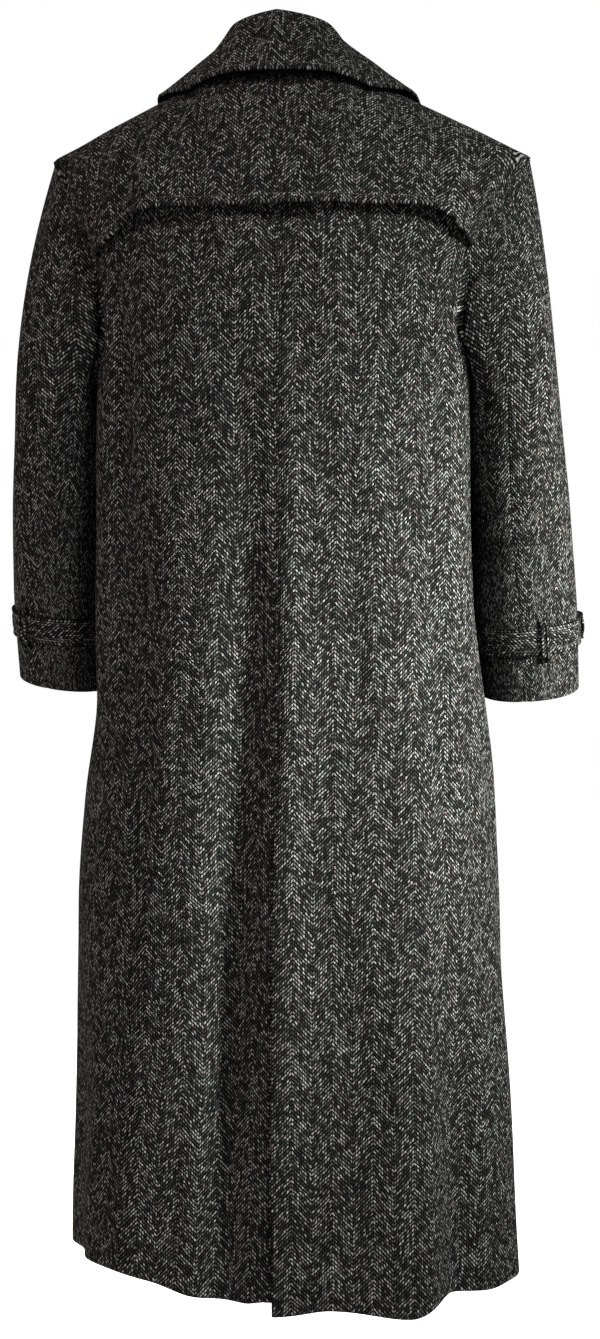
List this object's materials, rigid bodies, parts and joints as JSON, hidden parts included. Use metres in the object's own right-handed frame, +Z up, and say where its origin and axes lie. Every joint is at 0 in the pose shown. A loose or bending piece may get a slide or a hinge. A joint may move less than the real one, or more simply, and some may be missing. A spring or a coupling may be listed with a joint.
{
  "type": "overcoat",
  "caption": "Long herringbone overcoat in its worn, hollow form, with a fold-over collar, loose storm yoke, strapped cuffs and a centre back vent.",
  "frame": {"origin": "the middle of the neck opening, level with the inner ends of the shoulder seams, where the wearer's shoulders carry the coat", "axes": "+X to the wearer's right, +Y to the wearer's front, +Z up"},
  "size_m": [0.6087, 0.3403, 1.2998],
  "materials": {
    "herringbone_tweed": "matte wool herringbone, charcoal with light flecks and a short nap",
    "dark_horn": "polished dark horn"
  },
  "bodies": {
    "root": {"back_left": "herringbone_tweed", "back_right": "herringbone_tweed", "collar": "herringbone_tweed", "cuff_strap_left": "herringbone_tweed", "cuff_strap_right": "herringbone_tweed", "front_button_1": "dark_horn", "front_button_2": "dark_horn", "front_button_3": "dark_horn", "front_button_4": "dark_horn", "front_left": "herringbone_tweed", "front_right": "herringbone_tweed", "lapel_left": "herringbone_tweed", "lapel_right": "herringbone_tweed", "strap_button_left": "dark_horn", "strap_button_right": "dark_horn", "strap_loop_left": "herringbone_tweed", "strap_loop_right": "herringbone_tweed", "top_sleeve_left": "herringbone_tweed", "top_sleeve_right": "herringbone_tweed", "under_sleeve_left": "herringbone_tweed", "under_sleeve_right": "herringbone_tweed", "yoke": "herringbone_tweed"}
  },
  "joints": []
}
